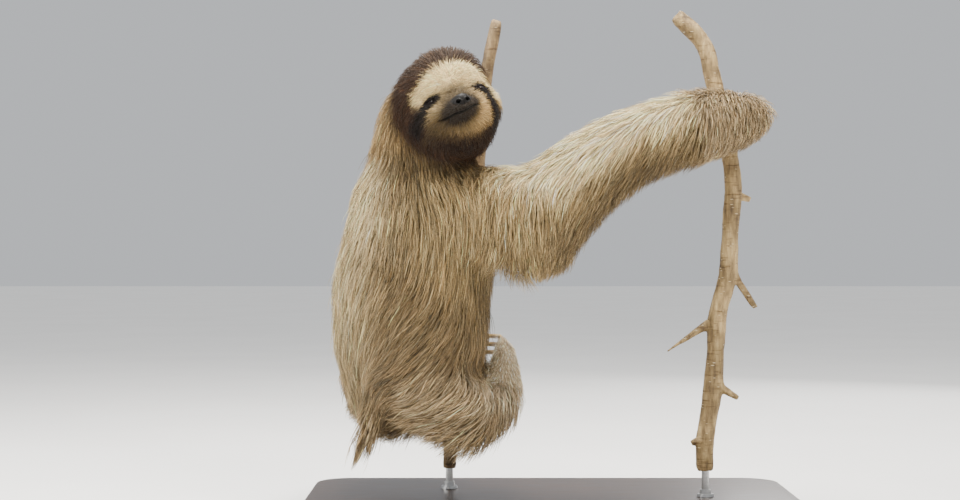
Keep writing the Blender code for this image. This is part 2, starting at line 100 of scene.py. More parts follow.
# Lie of the coat: a place in millimetres and the way the hair runs there, in hundredths
LIE = {
    "torso": (
        (-205, -40, 330, -10, 0, -100), (-160, -60, 330, 5, 0, -100), (-110, -70, 300, 10, 0, -100),
        (-213, -30, 259, 0, 0, -100), (-161, -70, 265, -12, 0, -100), (-105, -70, 262, -2, 0, -100),
        (-191, -60, 230, -62, 0, -80), (-150, -70, 222, -62, 0, -80), (-132, -70, 192, -90, 0, -66),
        (-105, -70, 215, -45, 0, -90), (-80, -50, 214, -22, 0, -100), (-70, -30, 260, -5, 0, -100),
        (-161, -60, 150, -100, 0, -40), (-195, -50, 175, -75, 0, -62), (-212, -30, 200, -30, 0, -90),
        (-200, -40, 130, -70, 0, -70), (-147, -60, 110, -100, 0, -30), (-95, -60, 155, -70, 0, -70),
        (-161, -80, 229, -66, 0, -76), (-132, -80, 229, -62, 0, -78), (-110, -80, 237, -35, 0, -95),
        (-147, -80, 200, -85, 0, -55), (-102, -70, 192, -72, 0, -72), (-191, -70, 192, -78, 0, -62),
        (-117, -70, 163, -95, 0, -45), (-176, -70, 163, -100, 0, -42), (-125, -80, 345, 60, 0, -80),
    ),
    "neck": (
        (-175, -30, 400, -25, 0, -100), (-160, -60, 370, 35, 0, -95), (-140, -75, 362, 80, 0, -75),
        (-110, -90, 354, 100, 0, -20), (-85, -50, 370, 60, 0, -70), (-120, 40, 400, 10, 10, -100),
    ),
    "tail": ((-195, -35, 90, -18, 0, -100),),
    "arm_right_upper": (
        (-90, -80, 330, 2, 0, -100), (-60, -60, 360, -35, 0, -90), (-50, -90, 310, 6, 0, -100),
        (-75, -70, 270, 30, 0, -95), (-10, -60, 370, -50, 0, -85), (-10, -100, 320, 2, 0, -100),
        (-40, -70, 265, 28, 0, -95), (0, -50, 262, 2, 0, -100), (-20, -90, 290, 10, 0, -100),
        (20, -70, 290, -30, 0, -95),
    ),
    "arm_right_fore": (
        (40, -50, 400, -80, 0, -62), (40, -90, 360, -45, 0, -95), (40, -50, 310, -60, 0, -80),
        (100, -50, 430, -62, 0, -75), (100, -80, 395, -36, 0, -100), (90, -50, 350, -70, 0, -72),
        (155, -40, 445, -25, 0, -100), (155, -60, 410, -14, 0, -100), (150, -30, 375, -40, 0, -90),
    ),
    "hand_right": (
        (190, -30, 440, -12, 0, -100), (190, -50, 415, -16, 0, -100), (225, -20, 420, -35, 0, -100),
        (190, 20, 415, -16, 0, -100),
    ),
    "arm_left_upper": ((-175, 80, 300, 0, 45, -90),),
    "arm_left_fore": ((-150, 120, 340, -35, 0, -95),),
    "hand_left": ((-100, 110, 420, -35, 10, -95),),
    "leg_right": (
        (-65, -60, 148, -10, 0, -100), (-100, -70, 150, -55, 0, -85), (-87.5, -70, 104, -85, 0, -50),
        (-120, -70, 100, -100, 0, -30), (-50, -40, 110, -45, 0, -90), (-150, -50, 110, -100, 0, -25),
    ),
    "foot_right": ((-36, 0, 141, -5, -60, -80), (-45, 40, 170, 0, -80, -60)),
    "leg_left": ((-180, 100, 130, -60, 10, -60), (-150, 120, 125, -80, 0, -50)),
    "foot_left": ((-110, 110, 140, -30, 20, -90),),
}

# Pieces of the coat: their parts, and which places on them
SKULL = "head nose eye_left eye_right"
REGIONS = (
    ("torso_high", "torso", lambda places: places[:, 2] > 0.285),
    ("torso_middle", "torso", lambda places: (places[:, 2] <= 0.285) & (places[:, 2] > 0.205)),
    ("torso_low", "torso", lambda places: places[:, 2] <= 0.205),
    ("neck", "neck", None),
    ("arm_right_upper", "arm_right_upper", None),
    ("arm_right_fore", "arm_right_fore", None),
    ("hand_right", "hand_right", None),
    ("arm_left", "arm_left_upper arm_left_fore", None),
    ("leg_left", "leg_left", None),
    ("leg_right", "leg_right tail", None),
    ("feet", "foot_right foot_left hand_left", None),
    ("face", SKULL, lambda places: face_zone(places)),
    ("head_sides", SKULL, lambda places: ~face_zone(places)),
)

# Cheek stripes: distances below the eye line, how far out the stripe's middle is there, half its width
STRIPES = {
    1: (
        (0.006, 0.010, 0.0164, 0.0263, 0.0347, 0.042, 0.051),
        (0.0300, 0.0325, 0.0345, 0.0370, 0.0372, 0.0349, 0.0300), 0.0054,
    ),
    -1: (
        (0.006, 0.009, 0.0147, 0.0213, 0.027, 0.034, 0.050),
        (0.0296, 0.0330, 0.0370, 0.0414, 0.0446, 0.0466, 0.0470), 0.0056,
    ),
}

# Lamps: name, place, aim, size, power, colour
LAMPS = (
    ("key", (0.70, -1.00, 1.55), (-0.05, -0.03, 0.33), 0.6, 32.0, (1.0, 0.95, 0.86)),
    ("top", (-0.05, -0.05, 1.70), (-0.05, 0.0, 0.33), 0.6, 74.0, (1.0, 0.97, 0.92)),
    ("left", (-1.5, -0.35, 1.05), (-0.15, 0.0, 0.28), 0.8, 32.0, (1.0, 0.98, 0.95)),
    ("back", (0.9, 1.5, 0.9), (0.0, 0.0, 0.30), 1.2, 16.0, (1.0, 0.98, 0.95)),
)
CAMERA_PLACE, CAMERA_LENS, CAMERA_SENSOR = (-0.0756, -1.9, 0.278), 67.86, 36.0


def light_of(*shade):
    """A shade as a paint chart gives it, 0 to 255, in linear light."""
    share = np.asarray(shade, float) / 255
    return np.where(share <= 0.04045, share / 12.92, ((share + 0.055) / 1.055) ** 2.4)


# SHADED_STRAW is straw darkened with painted shade; the pale straw on the line after next is straw with painted
# light
STRAW, SHADED_STRAW, RUMP_BROWN = light_of(184, 158, 111), light_of(134, 113, 78), light_of(137, 116, 84)
NECK_TAN, CHEST_SHADE, FOOT_ROSE = light_of(162, 135, 92), light_of(104, 80, 48), light_of(222, 198, 162)
LIT_STRAW, LEG_TAN = light_of(211, 187, 141), light_of(166, 143, 107)
FACE_CREAM, CHEEK_OCHRE, CROWN_BROWN = light_of(252, 221, 162), light_of(190, 158, 106), light_of(66, 48, 32)
SIDE_RUSSET, STRIPE_BROWN, THROAT_BROWN = light_of(62, 40, 22), light_of(24, 14, 8), light_of(44, 28, 16)
MUZZLE_GREY, NOSE_GREY = light_of(42, 35, 28), light_of(15, 12, 10)
BASE_TONE = {
    "neck": NECK_TAN, "arm_right_upper": STRAW, "arm_right_fore": STRAW,
    "foot_right": FOOT_ROSE, "foot_left": FOOT_ROSE, "hand_right": LEG_TAN, "hand_left": LEG_TAN,
    "arm_left_upper": LEG_TAN, "arm_left_fore": LEG_TAN, "leg_right": LEG_TAN, "leg_left": LEG_TAN, "tail": LEG_TAN,
}
BRANCH_SHADES = light_of(84, 64, 38), light_of(162, 136, 92), light_of(206, 182, 132), light_of(212, 194, 156)
STEM_SHADES = light_of(74, 56, 36), light_of(132, 108, 74), light_of(172, 148, 106), light_of(186, 166, 130)


# ---- small tools -----------------------------------------------------------------------------------


def head_turn():
    roll = Matrix.Rotation(-HEAD_ROLL, 3, "Y")
    yaw = Matrix.Rotation(HEAD_YAW, 3, "Z")
    pitch = Matrix.Rotation(-HEAD_PITCH, 3, "X")
    return np.array(roll @ yaw @ pitch)


TURN = head_turn()


def to_head(places):
    """Places as across, forward and up from the middle of the skull."""
    return ((places - HEAD) @ TURN) * (1, -1, 1)


def head_way(ways):
    return (np.asarray(ways, float) * (1, -1, 1)) @ TURN.T


def from_head(places):
    return head_way(places) + HEAD


def unit(vectors):
    size = np.linalg.norm(vectors, axis=-1, keepdims=True)
    return vectors / np.maximum(size, 1e-9)


def ramp(values, low, high):
    """0 up to low, easing to 1 at high."""
    share = np.clip((values - low) / (high - low), 0, 1)
    return share * share * (3 - 2 * share)


def fall(values, low, high):
    """1 up to low, easing to 0 at high."""
    return ramp(-values, -high, -low)


def bell(values, width):
    return np.exp(-((values / width) ** 2))


def mix(first, second, share):
    return first + (second - first) * np.asarray(share)[..., None]


def among(part, names):
    """Which points belong to the named parts."""
    return np.isin(part, [PARTS.index(name) for name in names.split()])


def link(name, data):
    piece = bpy.data.objects.new(name, data)
    bpy.context.scene.collection.objects.link(piece)
    return piece


def finished(piece, slot, finish, *nodes):
    """The piece rides on the model, wears its finish and stands for the nodes."""
    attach(piece, "root")
    piece.data.materials.clear()
    piece.data.materials.append(finish)
    if nodes:
        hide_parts(*nodes)
    return piece


def solid(name, bm):
    mesh = bpy.data.meshes.new(name)
    bmesh.ops.recalc_face_normals(bm, faces=bm.faces)
    bm.to_mesh(mesh)
    bm.free()
    mesh.shade_smooth()
    return link(name, mesh)


def settled(piece):
    """The piece with its modifiers applied, shaded smooth."""
    graph = bpy.context.evaluated_depsgraph_get()
    mesh = bpy.data.meshes.new_from_object(piece.evaluated_get(graph))
    piece.modifiers.clear()
    old, piece.data = piece.data, mesh
    bpy.data.meshes.remove(old)
    mesh.shade_smooth()
    return piece


def fetch(items, what, width=1, kind=float):
    """One value of every item, or a row of them."""
    values = np.empty(len(items) * width, kind)
    items.foreach_get(what, values)
    return values.reshape(-1, width) if width > 1 else values


def read(mesh, what="co"):
    return fetch(mesh.vertices, what, 3)


def write(mesh, places):
    mesh.vertices.foreach_set("co", places.ravel())
    mesh.update()


def edges_of(mesh):
    return fetch(mesh.edges, "vertices", 2, int)


def spread(values, pairs, rounds, share=0.5):
    """Values eased towards their neighbours' over the surface."""
    count = len(values)
    flat = values.reshape(count, -1).copy()
    one, two = pairs[:, 0], pairs[:, 1]
    near = np.bincount(one, minlength=count) + np.bincount(two, minlength=count)
    near = np.maximum(near, 1)
    for _ in range(rounds):
        for column in range(flat.shape[1]):
            kept = flat[:, column]
            total = np.bincount(one, kept[two], count) + np.bincount(two, kept[one], count)
            flat[:, column] = kept + share * (total / near - kept)
    return flat.reshape(values.shape)


def tree_of(places):
    tree = KDTree(len(places))
    for index, place in enumerate(places):
        tree.insert(place, index)
    tree.balance()
    return tree


def nearest(tree, places):
    return np.fromiter((tree.find(place)[1] for place in places), int, len(places))


def cloud(places, scale, shift=0.0):
    """Soft noise, about -1 to 1, at each place."""
    move = Vector((shift, -shift, 2 * shift))
    return np.fromiter((noise.noise(Vector(place) * scale + move) for place in places), float, len(places))


# ---- finishes --------------------------------------------------------------------------------------


def grey(level):
    return (level,) * 3


class Finish:
    """A material in the making: its nodes feed the one shader."""

    def __init__(self, name):
        self.material = bpy.data.materials.new(name)
        self.material.use_nodes = True
        self.tree = self.material.node_tree
        self.shader = self.tree.nodes["Principled BSDF"]

    def grow(self, kind, inputs, **settings):
        """A node with its settings, and its inputs linked or set."""
        node = self.tree.nodes.new("ShaderNode" + kind)
        for key, value in settings.items():
            setattr(node, key, value)
        for key, value in inputs.items():
            if isinstance(value, bpy.types.NodeSocket):
                self.tree.links.new(value, node.inputs[key])
            else:
                node.inputs[key].default_value = value
        return node

    def attribute(self, name, output):
        return self.grow("Attribute", {}, attribute_name=name).outputs[output]

    def places(self, scale=(1, 1, 1), middle=(0, 0, 0)):
        """Object coordinates, scaled about a piece's own middle."""
        start = self.grow("TexCoord", {}).outputs["Object"]
        shift = tuple(-m * s for m, s in zip(middle, scale))
        return self.grow("Mapping", {"Vector": start, "Location": shift, "Scale": scale}).outputs["Vector"]

    def noise(self, places, scale, detail, **more):
        return self.grow("TexNoise", {"Vector": places, "Scale": scale, "Detail": detail, **more}).outputs["Fac"]

    def shades(self, factor, *stops):
        """A colour ramp of (place, linear colour) stops."""
        node = self.grow("ValToRGB", {"Fac": factor})
        bar = node.color_ramp.elements
        while len(bar) < len(stops):
            bar.new(0.5)
        for stop, (place, colour) in zip(bar, stops):
            stop.position = place
            stop.color = (*colour, 1.0)
        return node.outputs["Color"]

    def times(self, colour, other):
        inputs = {"Factor": 1.0, 6: colour, 7: other}
        return self.grow("Mix", inputs, data_type="RGBA", blend_type="MULTIPLY").outputs[2]

    def done(self, colour, rough=None, bump=None, **fixed):
        """The material, once colour, roughness (from, low, high), bump and fixed values reach the shader."""
        feeds = {"Base Color": colour}
        if rough:
            source, low, high = rough
            inputs = {"Value": source, "To Min": low, "To Max": high}
            feeds["Roughness"] = self.grow("MapRange", inputs).outputs["Result"]
        if bump:
            height, strength, distance = bump
            inputs = {"Height": height, "Strength": strength, "Distance": distance}
            feeds["Normal"] = self.grow("Bump", inputs).outputs["Normal"]
        for socket, output in feeds.items():
            self.tree.links.new(output, self.shader.inputs[socket])
        for socket, value in fixed.items():
            self.shader.inputs[socket.replace("_", " ")].default_value = value
        return self.material


def hair_finish(name, gloss, shine):
    finish = Finish(name)
    fine = finish.noise(finish.places(), 900.0, 3.0)
    streak = finish.shades(fine, (0.25, grey(0.66)), (0.75, grey(1.0)))
    colour = finish.times(finish.attribute("tone", "Color"), streak)
    return finish.done(
        colour, (fine, gloss, gloss + 0.2), (fine, 0.25, 0.0003),
        Specular_IOR_Level=shine, Sheen_Weight=0.05, Sheen_Roughness=0.5,
    )


def skin_finish():
    """Skin under the coat, darkened by painted shade in its tone, with the bare nose and lips, matt to damp."""
    finish = Finish("hide_under_coat")
    places, bare = finish.places(), finish.attribute("bare", "Fac")
    fine = finish.noise(places, 700.0, 5.0)
    inputs = {"Vector": places, "Scale": 1150.0}
    pebbles = finish.grow("TexVoronoi", inputs, feature="SMOOTH_F1").outputs["Distance"]
    fleck = finish.shades(fine, (0.3, grey(0.55)), (0.72, grey(1.0)))
    height = finish.grow("Mix", {"Factor": bare, 2: fine, 3: pebbles}, data_type="FLOAT").outputs[0]
    colour = finish.times(finish.attribute("tone", "Color"), fleck)
    return finish.done(colour, (bare, 0.80, 0.50), (height, 0.6, 0.0005), Specular_IOR_Level=0.16)


def eye_finish(side, middle):
    finish = Finish(f"eye_{side}_wet")
    rays = finish.noise(finish.places((170.0,) * 3, middle), 6.0, 6.0, Distortion=1.2)
    brown = finish.shades(rays, (0.3, (0.004, 0.0025, 0.002)), (0.75, (0.020, 0.010, 0.005)))
    return finish.done(
        brown, (rays, 0.14, 0.22), None, IOR=1.36, Specular_IOR_Level=0.35, Coat_Weight=0.3, Coat_Roughness=0.12
    )


def horn_finish():
    finish = Finish("claw_horn")
    grain = finish.noise(finish.places((1, 1, 5)), 260.0, 6.0)
    stops = (0.25, light_of(128, 98, 58)), (0.5, light_of(176, 148, 98)), (0.8, light_of(214, 194, 146))
    warm = finish.shades(grain, *stops)
    return finish.done(warm, (grain, 0.26, 0.42), (grain, 0.3, 0.0004), Coat_Weight=0.25, Coat_Roughness=0.25)


def bark_finish(name, dark, middle, pale, spot):
    """Grain along the stem with darker patches, fine rings and pale spots."""
    finish = Finish(name)
    grain = finish.noise(finish.places((1, 1, 0.22)), 210.0, 8.0, Roughness=0.62)
    patch = finish.noise(finish.places(), 38.0, 5.0)
    cracks = finish.noise(finish.places((0.5, 0.5, 3.4)), 95.0, 6.0)
    inputs = {"Vector": finish.places((0.5, 0.5, 1.9)), "Scale": 165.0, "Randomness": 1.0}
    spots = finish.grow("TexVoronoi", inputs).outputs["Distance"]
    colour = finish.shades(grain, (0.28, dark), (0.52, middle), (0.78, pale))
    colour = finish.times(colour, finish.shades(patch, (0.38, (0.52, 0.50, 0.45)), (0.62, grey(1.0))))
    colour = finish.times(colour, finish.shades(cracks, (0.34, (0.46, 0.39, 0.32)), (0.44, grey(1.0))))
    uneven = finish.grow("Math", {0: spots, 1: patch}, operation="MULTIPLY").outputs[0]
    dots = finish.shades(uneven, (0.030, grey(0.75)), (0.075, grey(0.0)))
    colour = finish.grow("Mix", {0: dots, 6: colour, 7: (*spot, 1.0)}, data_type="RGBA").outputs[2]
    height = finish.grow("Math", {0: grain, 1: dots}, operation="ADD").outputs[0]
    return finish.done(colour, (grain, 0.62, 0.9), (height, 0.75, 0.0012))


def plinth_finish():
    finish = Finish("plinth_dark_oak")
    grain = finish.noise(finish.places((1, 9, 9)), 26.0, 9.0, Distortion=0.5)
    pores = finish.noise(finish.places((1, 26, 26)), 60.0, 4.0)
    stops = (0.3, light_of(34, 25, 20)), (0.55, light_of(58, 42, 33)), (0.8, light_of(78, 58, 44))
    pitted = finish.shades(pores, (0.36, grey(0.35)), (0.46, grey(1.0)))
    colour = finish.times(finish.shades(grain, *stops), pitted)
    return finish.done(colour, (grain, 0.30, 0.44), (pores, 0.15, 0.0003), Coat_Weight=0.2, Coat_Roughness=0.2)


def steel_finish():
    finish = Finish("rod_brushed_steel")
    brush = finish.noise(finish.places((1, 1, 40)), 90.0, 5.0)
    metal = finish.shades(brush, (0.3, grey(0.36)), (0.7, (0.55, 0.55, 0.54)))
    return finish.done(metal, (brush, 0.28, 0.42), (brush, 0.1, 0.0002), Metallic=1.0)


def floor_finish():
    finish = Finish("studio_floor")
    cloudy = finish.noise(finish.places(), 3.0, 4.0)
    pale = finish.shades(cloudy, (0.3, (0.78, 0.77, 0.75)), (0.7, (0.82, 0.81, 0.79)))
    return finish.done(pale, Roughness=0.85)


# ---- camera, floor and light -----------------------------------------------------------------------


def make_studio():
    scene = bpy.context.scene
    floor = bmesh.new()
    bmesh.ops.create_grid(floor, x_segments=4, y_segments=4, size=12.0)
    ground = solid("studio_floor", floor)
    ground.data.materials.append(floor_finish())

    scene.world = bpy.data.worlds.new("pale_room")
    scene.world.use_nodes = True
    room = scene.world.node_tree.nodes["Background"].inputs
    room["Color"].default_value, room["Strength"].default_value = (0.93, 0.96, 1.0, 1.0), 0.64

    day = bpy.data.lights.new("day", "SUN")
    day.energy, day.angle = 1.1, math.radians(50)
    link("day", day).rotation_euler = (math.radians(14), math.radians(-10), 0)
    for name, place, aim, size, power, colour in LAMPS:
        lamp = bpy.data.lights.new(name, "AREA")
        lamp.size, lamp.energy, lamp.color = size, power, colour
        holder = link(name, lamp)
        holder.location = place
        holder.rotation_euler = (Vector(aim) - Vector(place)).to_track_quat("-Z", "Y").to_euler()

    view = bpy.data.cameras.new("camera")
    view.lens, view.sensor_width, view.clip_end = CAMERA_LENS, CAMERA_SENSOR, 60.0
    scene.camera = link("camera", view)
    scene.camera.location = CAMERA_PLACE
    scene.camera.rotation_euler = (math.pi / 2, 0, 0)


# ---- skin ------------------------------------------------------------------------------------------


def copy_of(names, swell=0.0):
    bm = bmesh.new()
    for name in names:
        bm.from_mesh(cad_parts[name].data)
    bmesh.ops.remove_doubles(bm, verts=bm.verts, dist=1e-5)
    bm.normal_update()
    for vert in bm.verts:
        vert.co += vert.normal * swell
    return bm


def part_marks():
    """Points of every node of flesh, with the number of the node."""
    places, labels = [], []
    for number, name in enumerate(COAT):
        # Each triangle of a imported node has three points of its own, in turn
        corners = read(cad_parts[name].data).reshape(-1, 3, 3)
        for weights in (
            (1, 0, 0), (0, 1, 0), (0, 0, 1), (0.34, 0.33, 0.33), (0.5, 0.5, 0), (0, 0.5, 0.5), (0.5, 0, 0.5)
        ):
            places.append(np.tensordot(corners, weights, axes=([1], [0])))
            labels.append(np.full(len(corners), number))
    places, labels = np.concatenate(places), np.concatenate(labels)
    _, first = np.unique(places.round(5), axis=0, return_index=True)
    return tree_of(places[first]), labels[first]


def midline(up):
    """Where the middle of the face lies, as the turned head carries it."""
    return np.interp(up, (-0.042, -0.030, -0.020, -0.006, 0.009), (-0.0035, -0.0026, 0.0, 0.0022, 0.0026))


def crown_line(across):
    """Height of the edge between the pale brow and the brown crown."""
    off = across - 0.011
    return 0.0302 - np.where(off < 0, 8.8, 10.5) * off**2


def from_mouth(spots):
    """Height over the line of the mouth, and distance from its middle."""
    across, _, up = spots.T
    off = across - midline(-0.030)
    line = -0.0325 + np.where(off < 0, 0.0040, 0.0062) * (np.abs(off) / 0.022) ** 1.6
    return up - line, np.abs(off)


def nose_ring(spots):
    """Distance from the middle of the nose, 1 at its rim."""
    return np.hypot(spots[:, 0] / NOSE_HALF_WIDTH, (spots[:, 2] - NOSE_UP) / NOSE_HALF_HEIGHT)


def face_share(spots):
    """1 on the short-haired face, 0 on the long coat of the head."""
    across, forward, up = spots.T
    share = ramp(forward, 0.004, 0.018) * fall(np.abs(across), 0.038, 0.047)
    return share * ramp(crown_line(across) - up, -0.004, 0.006) * ramp(up, -0.058, -0.046)


def muzzle_share(spots):
    across, forward, up = spots.T
    return fall(np.hypot(across / 0.021, (up + 0.0255) / 0.0150), 0.75, 1.15) * ramp(forward, 0.030, 0.040)


def nose_share(spots):
    return fall(nose_ring(spots), 0.92, 1.08) * ramp(spots[:, 1], 0.044, 0.050)


def eye_middle(side):
    return np.array((EYES[side] * EYE_ACROSS + EYE_SHIFT, EYE_FORWARD, EYE_UP))


def eye_frame(side):
    """Axes of an eye: outwards, along the slit towards the outer corner, and up."""
    out = unit(np.array((EYES[side] * 0.42, 0.90, -0.02)))
    along = np.array((EYES[side] * 1.0, 0.0, 0.02))
    along = unit(along - out * np.dot(along, out))
    up = np.cross(along, out) * -EYES[side]
    return out, along, up if up[2] > 0 else -up


def set_eye(side):
    """The eyeball sits a little behind the lids."""
    return eye_middle(side) - eye_frame(side)[0] * EYE_SUNK


def near_eyes(spots):
    return np.minimum(*(np.linalg.norm(spots - eye_middle(side), axis=1) for side in EYES))


def claw_points():
    """Points of all claws, and the middle of each one's root with the way into its hand or foot."""
    every, roots = [], []
    for name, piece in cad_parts.items():
        if not name.startswith("claw_"):
            continue
        points, holder = read(piece.data), read(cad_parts[name[5:-2]].data)
        every.append(points)
        off = points - points.mean(0)
        along = off @ np.linalg.svd(off, full_matrices=False)[2][0]
        ends = [points[side * along >= np.quantile(side * along, 0.93)] for side in (-1, 1)]
        root = max(ends, key=lambda end: end.std(0).sum()).mean(0)
        close = holder[np.argsort(np.linalg.norm(holder - root, axis=1))[: len(holder) // 3]].mean(0)
        roots.append((root, unit((close - root)[None])[0]))
    return np.concatenate(every), roots


CLAWS, TOES = claw_points()
CLAW_TREE = tree_of(CLAWS)


def toe_share(places):
    """1 where a claw grows out of hand or foot, 0 from a centimetre away."""
    return fall(np.linalg.norm(places - CLAWS[nearest(CLAW_TREE, places)], axis=1), 0.0045, 0.0105)


def coat_depth(part, spots):
    """How far the coat stands over the skin of each part."""
    depth = np.array([COAT[name][0] for name in PARTS])[part]
    depth = depth + (0.0006 - depth) * toe_share(from_head(spots))
    on_head = part >= HEAD_PART
    face = np.where(on_head, face_share(spots), 0)
    depth = np.where(on_head, COAT["head"][0] + (FACE[0] - COAT["head"][0]) * face, depth)
    for thin, share in (
        (0.0010, muzzle_share(spots)), (0.0004, nose_share(spots)), (0.0016, fall(near_eyes(spots), 0.008, 0.013))
    ):
        depth = np.where(on_head, depth + (thin - depth) * share, depth)
    return depth


def split_finer(bm, wanted):
    faces = [face for face in bm.faces if wanted(np.array([face.calc_center_median()]))[0]]
    edges = list({edge for face in faces for edge in face.edges})
    made = bmesh.ops.subdivide_edges(bm, edges=edges, cuts=1, use_grid_fill=True)
    fresh = [item for item in made["geom_inner"] if isinstance(item, bmesh.types.BMVert)]
    bmesh.ops.smooth_vert(bm, verts=fresh, factor=0.5, use_axis_x=True, use_axis_y=True, use_axis_z=True)


def face_zone(places):
    across, forward, up = to_head(places).T
    return (forward > 0.006) & (np.abs(across) < 0.046) & (up > -0.056) & (up < 0.034)


def fine_zone(places):
    spots = to_head(places)
    across, forward, up = spots.T
    muzzle = (np.abs(across) < 0.026) & (up > -0.042) & (up < -0.008) & (forward > 0.030)
    return muzzle | (near_eyes(spots) < 0.0145)


def finest_zone(places):
    spots = to_head(places)
    across, forward, up = spots.T
    nose = (np.abs(across) < 0.0125) & (up > -0.0285) & (up < -0.011) & (forward > 0.042)
    mouth = (np.abs(across) < 0.0265) & (np.abs(from_mouth(spots)[0]) < 0.0030) & (forward > 0.030)
    return nose | mouth | (near_eyes(spots) < 0.0095)


def slit_edges(along):
    share = np.clip(1 - (along / SLIT_HALF_WIDTH) ** 2, 0, None)
    return SLIT_ABOVE * share**0.8, -SLIT_BELOW * share**0.7


def shape_lids(spots):
    """Skin near an eye drawn to a sphere round the eyeball, and open between the lids."""
    snap, lip, soft = 0.00034, 0.00045, 0.0012
    for side in EYES:
        middle = set_eye(side)
        out, along, up = eye_frame(side)
        near = np.linalg.norm(spots - middle, axis=1) < 0.0125
        part = spots[near] - middle
        x, y, z = part @ along, part @ up, part @ out
        high, low = slit_edges(x)
        for edge in (high, low):
            gap = y - edge
            close = (np.abs(gap) < snap) & (np.abs(x) < SLIT_HALF_WIDTH * 0.99)
            y = np.where(close, edge + np.sign(gap) * 0.00010, y)
        reach = np.sqrt(x * x + y * y + z * z)
        way = np.stack((x, y, z), 1) / reach[:, None]
        rim = np.minimum(np.abs(y - high), np.abs(y - low))
        lid = EYE_RADIUS + LID_THICKNESS + lip * bell(rim, 0.0009) * (np.abs(x) < SLIT_HALF_WIDTH * 1.1)
        rise = np.where(z > 0, lid + soft * np.logaddexp(0, (reach - lid) / soft), reach)
        rise = rise - 0.0006 * bell(y - 0.0058, 0.0009) * fall(np.abs(x), 0.004, 0.008)
        opened = (y < high) & (y > low) & (np.abs(x) < SLIT_HALF_WIDTH) & (z > 0)
        rise = np.where(opened, EYE_RADIUS - 0.0012, rise)
        spots[near] = middle + (way * rise[:, None]) @ np.stack((along, up, out))
    return spots


def shape_face(places, normals):
    """Mouth, nose, nostrils and lids, pressed and raised in the skin of the face."""
    spots = to_head(places)
    ways = (normals @ TURN) * (1, -1, 1)
    across, forward, up = spots.T
    front, tip = ramp(forward, 0.026, 0.034), ramp(forward, 0.040, 0.046)
    gap, beside = from_mouth(spots)
    lips = -0.0016 * bell(gap, 0.00075) + 0.0007 * bell(gap - 0.0028, 0.0020) + 0.0005 * bell(gap + 0.0026, 0.0018)
    move = lips * fall(beside, 0.0195, 0.0250)
    move -= 0.0010 * bell(np.hypot(beside - 0.0242, gap), 0.0022)
    move -= 0.00022 * bell(nose_ring(spots) - 1.06, 0.07)
    move -= 0.0007 * bell(across, 0.0006) * ramp(-up, 0.0225, 0.0260) * ramp(up, -0.0325, -0.0300)
    move *= front
    for side in (-1, 1):
        dip = np.hypot(across - side * NOSTRIL_ACROSS, (up - NOSTRIL_UP) * 1.08)
        move -= NOSTRIL_DEPTH * fall(dip, NOSTRIL_RADIUS * 0.62, NOSTRIL_RADIUS) * tip
        move += 0.0004 * bell(dip - NOSTRIL_RADIUS * 1.25, 0.0007) * tip
    return from_head(shape_lids(spots + ways * move[:, None]))


def make_skin():
    body = copy_of(FLESH + ["eye_left", "eye_right"], SKIN_SWELL)
    for root, inwards in TOES:
        for reach in (0.0, 0.0035):
            place = Matrix.Translation(Vector(root + inwards * reach))
            bmesh.ops.create_icosphere(body, subdivisions=2, radius=TOE_RADIUS, matrix=place)
    swollen = solid("sloth_skin", body)
    voxels = swollen.modifiers.new("whole", "REMESH")
    voxels.mode, voxels.voxel_size = "VOXEL", SKIN_VOXEL
    skin = settled(swollen)
    mesh = skin.data
    tree, labels = part_marks()
    pairs = edges_of(mesh)
    places = spread(read(mesh), pairs, 4)
    part = labels[nearest(tree, places)]
    depth = spread(coat_depth(part, to_head(places)), pairs, 10) + SKIN_SWELL
    hold = np.where(face_zone(places), 0.12, 0.45)
    hold = (hold + (0.08 - hold) * toe_share(places))[:, None]
    for _ in range(5):
        write(mesh, places)
        places = places - read(mesh, "normal") * (depth / 5)[:, None]
        places += (spread(places, pairs, 1, 1.0) - places) * hold
    tail = spread(among(part, "tail").astype(float), pairs, 4)[:, None]
    write(mesh, places + (TAIL_ROOT - places) * tail * 0.30)

    bm = bmesh.new()
    bm.from_mesh(mesh)
    for zone in (face_zone, fine_zone, finest_zone):
        split_finer(bm, zone)
    bmesh.ops.triangulate(bm, faces=[face for face in bm.faces if len(face.verts) > 4])
    bm.to_mesh(mesh)
    bm.free()
    mesh.update()
    write(mesh, shape_face(read(mesh), read(mesh, "normal")))
    return skin, tree, labels


# ---- markings, painted light and painted shade -----------------------------------------------------


def stripe_share(across, up):
    """The dark band from the outer corner of each eye down the cheek."""
    share = 0
    for side, (falls, reaches, half) in STRIPES.items():
        off = np.abs(side * across - np.interp(-up, falls, reaches))
        share = share + fall(off, half - 0.0014, half + 0.0014) * (side * across > 0)
    return share * ramp(-up, 0.0050, 0.0085)


